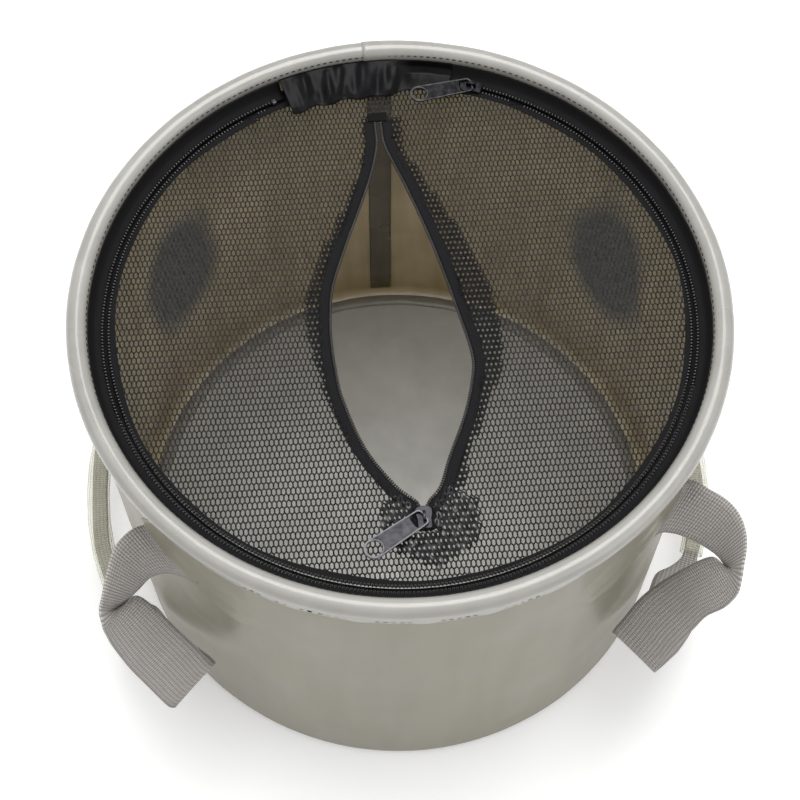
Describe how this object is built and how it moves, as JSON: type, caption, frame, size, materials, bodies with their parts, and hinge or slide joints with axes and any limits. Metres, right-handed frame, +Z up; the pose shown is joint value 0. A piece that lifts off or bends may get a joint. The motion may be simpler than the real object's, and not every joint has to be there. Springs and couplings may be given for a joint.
{
  "type": "bait bucket",
  "caption": "Round soft-walled bait bucket with a zipped mesh lid that folds back, a zipped slit in the lid and two webbing handles with grip sleeves.",
  "frame": {"origin": "centre of the base, on the ground it stands on", "axes": "+Z up, +Y to the back where the lid folds, the handles on -X and +X"},
  "size_m": [0.444, 0.4005, 0.2955],
  "materials": {
    "wall": "coated sheet, slightly glossy",
    "floor": "coated sheet, slightly glossy",
    "rim": "glossy",
    "hoop": "plain",
    "tape": "woven",
    "coil": "plain",
    "satin": "satin",
    "mesh": "knitted net",
    "webbing": "woven",
    "sleeve": "clear, slightly yellow",
    "metal": "dark, satin"
  },
  "bodies": {
    "tub": {"wall_sheet": "wall", "wall_seam_strip": "wall", "floor_sheet": "floor", "floor_weld_ribbon": "floor", "rim_hoop": "hoop", "rim_piping": "rim", "rim_piping_lap": "rim", "rim_hem": "rim", "rim_tape": "tape", "rim_coil": "coil", "rim_zip_stops": "coil", "satin_gusset": "satin", "rear_mesh": "mesh", "rear_zip_tape": "tape", "rear_zip_coil": "coil", "patch_front_left": "wall", "patch_rear_left": "wall", "patch_front_right": "wall", "patch_rear_right": "wall", "strap_ends_left": "webbing", "strap_ends_right": "webbing"},
    "lid": {"lid_mesh_left": "mesh", "lid_mesh_right": "mesh", "lid_zip_tape": "tape", "lid_coil": "coil", "slit_tape_left": "tape", "slit_tape_right": "tape", "slit_coil_left": "coil", "slit_coil_right": "coil", "slit_rear_tack": "tape", "slit_front_patch": "tape"},
    "rim_slider": {"rim_slider": "metal"},
    "rim_pull": {"rim_pull": "metal"},
    "slit_slider": {"slit_slider": "metal"},
    "slit_pull": {"slit_pull": "metal"},
    "handle_left": {"strap_loop_left": "webbing", "grip_left": "sleeve"},
    "handle_right": {"strap_loop_right": "webbing", "grip_right": "sleeve"}
  },
  "joints": [
    {"name": "lid_flip", "type": "hinge", "parent": "tub", "child": "lid", "pos_m": [0, 0.1533, 0.2794], "axis": [-1, 0, 0], "range_deg": [0, 90]},
    {"name": "rim_slider_travel", "type": "hinge", "parent": "tub", "child": "rim_slider", "pos_m": [0, 0, 0.278], "axis": [0, 0, 1], "range_deg": [-315.7, 0]},
    {"name": "rim_pull_flip", "type": "hinge", "parent": "rim_slider", "child": "rim_pull", "pos_m": [0.05824, 0.1682, 0.28155], "axis": [0.2062, -0.9785, 0], "range_deg": [-126, 0]},
    {"name": "slit_slider_travel", "type": "slide", "parent": "lid", "child": "slit_slider", "axis": [-0.0279, 0.9996, 0], "range_m": [0, 0.273]},
    {"name": "slit_pull_flip", "type": "hinge", "parent": "slit_slider", "child": "slit_pull", "pos_m": [0.00377, -0.13495, 0.28155], "axis": [0.524, -0.8517, 0], "range_deg": [-150, 0]},
    {"name": "handle_left_swing", "type": "hinge", "parent": "tub", "child": "handle_left", "pos_m": [-0.177, 0, 0.215], "axis": [0, 1, 0], "range_deg": [0, 165]},
    {"name": "handle_right_swing", "type": "hinge", "parent": "tub", "child": "handle_right", "pos_m": [0.177, 0, 0.215], "axis": [0, -1, 0], "range_deg": [0, 165]}
  ]
}
